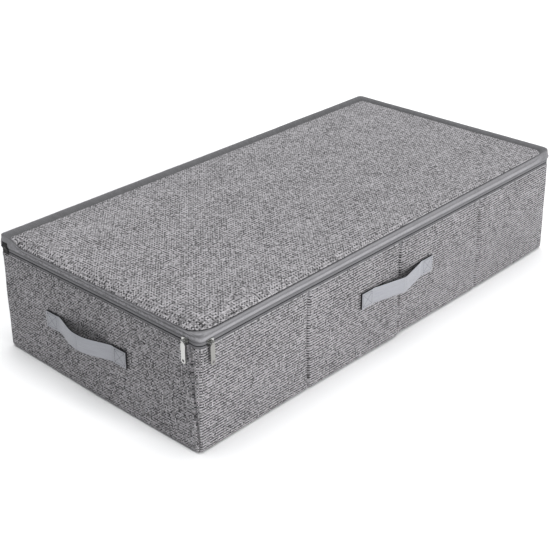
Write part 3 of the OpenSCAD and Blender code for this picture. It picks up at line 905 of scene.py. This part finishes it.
SLIT = 0.85  # from the zip's middle to each tape's folded edge
lower_sewn, upper_sewn = edge("lower_zip_tape", 0, 2), edge("upper_zip_tape", 1, 2)
zip_tape("lower_zip_tape_cloth", "lower_zip_tape",
         [(1.7, lower_sewn), (1.6, WALL_EDGE - 3), (1.4, WALL_EDGE - 0.8), (0.7, WALL_EDGE + 0.2),
          (0.2, WALL_EDGE + 0.9), (0.2, ZIP_Z - SLIT - 0.6), (0.45, ZIP_Z - SLIT), (1.1, ZIP_Z - SLIT + 0.05)], "box")
zip_tape("upper_zip_tape_cloth", "upper_zip_tape",
         [(1.7, upper_sewn), (2.0, SKIRT_LOW + 3), (1.9, SKIRT_LOW + 0.4), (1.0, SKIRT_LOW - 0.5),
          (0.35, SKIRT_LOW - 1.3), (0.3, ZIP_Z + SLIT + 0.5), (0.45, ZIP_Z + SLIT), (1.1, ZIP_Z + SLIT - 0.05)], "lid")


def tooth():
    """One turn of coil: a rounded upright loop with a wider head, about one unit each way."""
    points, faces, sides = [], [], 8
    shape = [(-0.5, 0.30, 0.55), (-0.42, 0.42, 0.9), (-0.1, 0.42, 1.0),
             (0.22, 0.42, 1.0), (0.40, 0.5, 0.92), (0.5, 0.34, 0.6)]
    for height, wide, deep in shape:
        for k in range(sides):
            a = 2 * math.pi * (k + 0.5) / sides
            points.append((height, wide * math.cos(a), 0.5 * deep * math.sin(a)))
    for level in range(len(shape) - 1):
        for k in range(sides):
            n = (k + 1) % sides
            base = level * sides
            faces.append([base + k, base + n, base + sides + n, base + sides + k])
    faces.append(list(range(sides))[::-1])
    faces.append([(len(shape) - 1) * sides + k for k in range(sides)])
    return np.array(points), faces


COIL_PITCH = 1.3
TOOTH = tooth()


def zip_coil(name, node, side, body):
    """A row of coil. side is -1 for the box's row and 1 for the lid's; the rows sit half a pitch apart."""
    line, normals = zip_line(COIL_DEPTH, ZIP_END, step=2.0)
    places, _, normal = along_line(at_height(line, 0.0), at_height(normals, 0.0), COIL_PITCH / 2)
    keep = slice(0 if side < 0 else 1, None, 2)
    places, normal = places[keep], normal[keep]
    outer = COIL_LOW if side < 0 else COIL_HIGH
    head = ZIP_Z - side * 0.35
    places[:, 2] = (outer + head) / 2 - droop(places[:, 0], places[:, 1])
    up = np.tile([0.0, 0.0, -float(side)], (len(places), 1))
    piece = copies(name, places, up, normal, (abs(head - outer), 2.5, 0.74), TOOTH, COIL)
    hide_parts(node)
    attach(piece, body)


zip_coil("lower_zip_teeth", "lower_zip_coil", -1, "box")
zip_coil("upper_zip_teeth", "upper_zip_coil", 1, "lid")


# ---------------------------------------------------------------- cloth hinge
HINGE_OUT = 0.95  # the strip's face stands this far off the back wall


def hinge():
    """One flat strip from the back wall up to the lid, with a soft bead along the zip's line."""
    half = edge("hinge_tape", 1, 0)
    low, high = edge("hinge_tape", 0, 2), edge("hinge_flap", 1, 2)
    face = HALF_W + HINGE_OUT
    xs = np.linspace(-half, half, 160)
    levels = sorted({*np.linspace(low, high, 22), *np.linspace(ZIP_Z - 4, ZIP_Z + 4, 17)})
    rows = []
    for z in levels:
        bead = 0.5 * math.exp(-((z - ZIP_Z) / 1.3) ** 2)
        hem = 0.25 * (math.exp(-((z - low - 1.5) / 1.5) ** 2) + math.exp(-((z - high + 1.5) / 1.5) ** 2))
        ripple = 0.12 * smooth_noise(xs, z, 81, 60)
        rows.append(at_height(np.column_stack([xs, face + bead + hem + ripple]), z))
    points = np.stack(rows, axis=1)
    piece = grid("hinge_strip", points, lattice(xs, levels), HINGE_CLOTH, flip=True)
    thicken(piece, 0.6)
    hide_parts("hinge_tape", "hinge_flap")
    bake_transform(piece)


hinge()


# ---------------------------------------------------------------- handles
class Wall:
    """Turns a handle's own coordinates (along, out of the wall, up) into the row frame."""

    def __init__(self, side, middle, height):
        self.side, self.middle, self.height = side, middle, height

    def place(self, p):
        p = np.asarray(p, float)
        a, n, z = p[..., 0], p[..., 1], p[..., 2] + self.height
        if self.side == "front":
            return np.stack([self.middle + a, -HALF_W - n, z], axis=-1)
        if self.side == "left":
            return np.stack([-HALF_L - n, self.middle - a, z], axis=-1)
        return np.stack([HALF_L + n, self.middle + a, z], axis=-1)

    def turn(self, d):
        return self.place(d) - self.place(np.zeros(3))


STRAP_HALF = (edge("front_handle_ends", 1, 0) - edge("front_handle_ends", 0, 0)) / 2
STRAP_W = edge("front_handle", 1, 2) - edge("front_handle", 0, 2)
STRAP_T = 2.1
FOLD_T = 0.8  # more at the sewn ends, where the strap is folded under
PATCH = 24.0  # the length of each sewn end
SEWN = STRAP_HALF - PATCH
RISE = 14.0  # how far the middle stands off the wall
FREE = 18.0  # from the middle, where the strap stops bending
FACE_POINTS = 17  # across the strap's outer face


def strap_out(a, style):
    """How far the strap's inner face stands off the wall."""
    share = np.clip(1 - np.abs(a) / SEWN, 0, 1)
    if style == "kinked":
        straight = 1 - np.sqrt((np.abs(a) / SEWN) ** 2 + 0.0030)
        return 0.25 + RISE * np.clip(straight, 0, 1) * smooth_step(np.clip(share / 0.22, 0, 1)) ** 0.6
    return 0.25 + RISE * share ** 1.75 * (3 - 2 * share)


def strap_half(name, wall, side, style, nodes_named, seed):
    """Half a strap, from its sewn end to its middle. side is -1 for the low end along the wall."""
    stretch = np.concatenate([np.linspace(STRAP_HALF, SEWN, 14)[:-1], np.linspace(SEWN, 0, 44)])
    half_w, half_t = STRAP_W / 2, 0.5
    across = np.linspace(-1, 1, FACE_POINTS)
    rim = [(half_w - 0.05, half_t * 0.75), (half_w, 0.0), (half_w - 0.1, -half_t * 0.8)]
    section = [(w * (half_w - 0.4), half_t + 0.04 * (abs(w) > 0.93) - 0.05 * (0.84 < abs(w) < 0.92)) for w in across]
    section += rim + [(w * (half_w - 0.5), -half_t) for w in across[::-1]] + [(-w, h) for w, h in rim[::-1]]
    section = np.array(section)
    delta = 0.4
    points = []
    for a in stretch:
        thick = STRAP_T + FOLD_T * smooth_step(min(1.0, max(0.0, (a - SEWN + 3) / 5)))
        centre = strap_out(a, style) + thick / 2
        slope = (strap_out(a + delta, style) - strap_out(a - delta, style)) / (2 * delta)
        normal = np.array([-slope, 1.0]) / math.hypot(slope, 1)
        loose = min(1.0, max(0.0, (SEWN - a) / 25))
        cup = 0.35 * loose * (1 - (section[:, 0] / half_w) ** 2)
        sway = 0.25 * loose * math.sin(a / 17 + seed)
        depth = section[:, 1] * thick + cup
        along = a + normal[0] * depth
        out = centre + normal[1] * depth
        points.append(np.column_stack([side * along, out, section[:, 0] + sway]))
    points = wall.place(np.stack(points, axis=1))
    lean = [bulge(wall.place([s * (SEWN + PATCH / 2), 0.0, 0.0])) for s in (-1, 1)]
    share = (side * stretch / (SEWN + PATCH / 2)).clip(-1, 1) * 0.5 + 0.5
    points = points + (lean[0] + (lean[1] - lean[0]) * share[:, None])[None, :, :]
    run = run_lengths(np.column_stack([stretch, strap_out(stretch, style)]), closed=False)
    uv = [[(side * r, c) for r in run] for c in run_lengths(section)]
    piece = grid(name, points, uv, STRAP, closed=True, caps=True,
                 flip=(side < 0) != (wall.side == "left"))
    # The strap's rims, back and end caps take the near-black backing: partly real backing, partly painted shade in the
    # gap behind the strap.
    piece.data.materials.append(DARK_BACKING_AND_SHADE)
    dark_from = (FACE_POINTS - 1) * (len(stretch) - 1)
    for f in piece.data.polygons:
        if f.index >= dark_from:
            f.material_index = 1
    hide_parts(*nodes_named)
    start = Vector((wall.place([side * SEWN, 0, 0]) * MM).tolist())
    end = Vector((wall.place([side * FREE, 0, 0]) * MM).tolist())
    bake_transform(piece)


def box_stitches(name, wall, side, style):
    """The sewn square with its cross, at one end of a strap."""
    a0, a1 = SEWN + 2.2, STRAP_HALF - 2.4
    w = STRAP_W / 2 - 3.0
    corners = [(a0, -w), (a1, -w), (a1, w), (a0, w)]
    lean = bulge(wall.place([side * (SEWN + PATCH / 2), 0.0, 0.0]))
    made = []
    for first, last in ((0, 1), (1, 2), (2, 3), (3, 0), (0, 2), (1, 3)):
        at, up = np.linspace(corners[first], corners[last], 24).T
        line = np.column_stack([side * at, strap_out(at, style) + STRAP_T + FOLD_T + 0.02, up])
        normal = np.tile([0.0, 1.0, 0.0], (len(line), 1))
        made.append(along_line(wall.place(line) + lean, wall.turn(normal), 2.7))
    places, along, out = (np.vstack(parts) for parts in zip(*made))
    piece = copies(name, places, along, out, (2.2, 0.5, 0.6), STITCH, STRAP_THREAD)
    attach(piece, "box")


def handle(side, style, seed):
    """Both halves of one handle, with the stitches of its sewn ends."""
    ends, grip = f"{side}_handle_ends", f"{side}_handle"
    axis = 0 if side == "front" else 1
    middle = (edge(ends, 0, axis) + edge(ends, 1, axis)) / 2
    height = (edge(grip, 0, 2) + edge(grip, 1, 2)) / 2
    wall = Wall(side, middle, height)
    for tag, direction in (("a", -1), ("b", 1)):
        strap_half(f"{side}_strap_{tag}", wall, direction, style, (ends, grip), seed)
        box_stitches(f"{side}_strap_stitches_{tag}", wall, direction, style)


handle("front", "kinked", 0.4)
handle("left", "arched", 1.3)
handle("right", "arched", 2.2)


# ---------------------------------------------------------------- sewing
STITCH_PITCH = 3.6


def sew(name, line, normals, body, closed):
    """A row of stitches along a line on the cloth."""
    places, direction, normal = along_line(line, at_height(normals, 0.0), STITCH_PITCH, closed)
    piece = copies(name, places, direction, normal, (2.7, 0.42, 0.5), STITCH, THREAD)
    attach(piece, body)


sew("border_stitches", border_points[:, 24], border_normals, "lid", closed=True)
_, wall_normals, _ = box_ring(0)
HEM_LEVEL = len(WALL_LEVELS) - 6
sew("wall_hem_stitches", wall_points[:br, HEM_LEVEL], wall_normals[:br], "box", closed=False)


def zip_end_tab(side):
    """A folded loop of tape over one end of the zip."""
    low, high = edge("zip_end_tabs", 0, 2), edge("zip_end_tabs", 1, 2)
    y0, y1 = edge("zip_end_tabs", 0, 1), edge("zip_end_tabs", 1, 1)
    ys = np.linspace(y0, y1, 13)
    shape = [(0.25, low + 0.2), (0.75, low), (1.05, low + 0.8), (0.95, low + 5), (0.85, high - 4), (0.95, high - 0.8),
             (0.65, high), (0.2, high - 0.1), (-0.1, high - 1), (-0.15, high - 4), (-0.3, high - 9), (-0.45, low + 4)]
    shape = [(n + 2.4 * math.exp(-((z - ZIP_Z - 7.5) / 3.2) ** 2), z) for n, z in smooth_profile(shape, 34)]
    ripple = 0.08 * np.sin(ys * 0.9)
    rows = [at_height(np.column_stack([side * (HALF_L + n + ripple), ys]), z) for n, z in shape]
    points, uv = np.stack(rows, axis=1), lattice(ys, run_lengths(shape, closed=False))
    piece = grid(f"zip_end_tab_{'left' if side < 0 else 'right'}", points, uv, END_TAPE, flip=side < 0)
    thicken(piece, 0.45)
    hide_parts("zip_end_tabs")
    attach(piece, "box")


zip_end_tab(-1)
zip_end_tab(1)


# ---------------------------------------------------------------- CAD pieces that stay
for name, piece in nodes.items():
    if piece.hide_render:
        continue
    piece.data.materials.clear()
    if name.endswith("_stops"):
        piece.data.materials.append(STOP_METAL)
        soften(piece, 0.35)
    elif "slider" in name or "pull" in name:
        # The front pull takes the darker copy of the plating: painted shade.
        piece.data.materials.append(SHADED_PULL_METAL if name == "front_pull" else METAL)
        soften(piece, 0.22, 3)
    else:
        piece.data.materials.append(BOARD)
        soften(piece, 0.4)
    for f in piece.data.polygons:
        f.use_smooth = True
    smooth = piece.modifiers.new("normals", "WEIGHTED_NORMAL")
    smooth.keep_sharp = False


# ---------------------------------------------------------------- studio
def studio():
    """The photo's white sweep, two soft lights and the camera fitted to the box's corners."""
    scene = bpy.context.scene
    scene.view_settings.view_transform = "Standard"
    world = bpy.data.worlds.new("studio")
    scene.world = world
    world.use_nodes = True
    sky = world.node_tree.nodes["Background"]
    sky.inputs[0].default_value = (0.95, 0.97, 1.0, 1)
    sky.inputs[1].default_value = 0.40

    ground = bpy.data.meshes.new("floor")
    ground.from_pydata([(-9, -9, 0), (9, -9, 0), (9, 9, 0), (-9, 9, 0)], [], [(0, 1, 2, 3)])
    floor = bpy.data.objects.new("floor", ground)
    scene.collection.objects.link(floor)
    pale = bpy.data.materials.new("floor_paint")
    pale.use_nodes = True
    paint = pale.node_tree.nodes["Principled BSDF"]
    paint.inputs["Base Color"].default_value = (0.93, 0.93, 0.93, 1)
    paint.inputs["Roughness"].default_value = 0.9
    ground.materials.append(pale)
    floor.location.z = -0.0005

    def sun(name, direction, strength, angle):
        light = bpy.data.lights.new(name, "SUN")
        light.energy = strength
        light.angle = math.radians(angle)
        lamp = bpy.data.objects.new(name, light)
        lamp.rotation_euler = Vector(direction).to_track_quat("Z", "Y").to_euler()
        scene.collection.objects.link(lamp)

    sun("overhead", (0.10, 0.10, 1.0), 2.4, 50)
    sun("key", (0.05, -0.95, 0.36), 2.08, 25)

    data = bpy.data.cameras.new("camera")
    data.lens = 77.2
    camera = bpy.data.objects.new("camera", data)
    right = Vector((0.67676, -0.73620, -0.00191))
    down = Vector((-0.34107, -0.31123, -0.88702))
    forward = Vector((0.65243, 0.60096, -0.46172))
    turn = Matrix((right, -down, -forward)).transposed().to_4x4()
    camera.matrix_world = Matrix.Translation((-1.2309, -1.0890, 0.8856)) @ turn
    scene.collection.objects.link(camera)
    scene.camera = camera


studio()
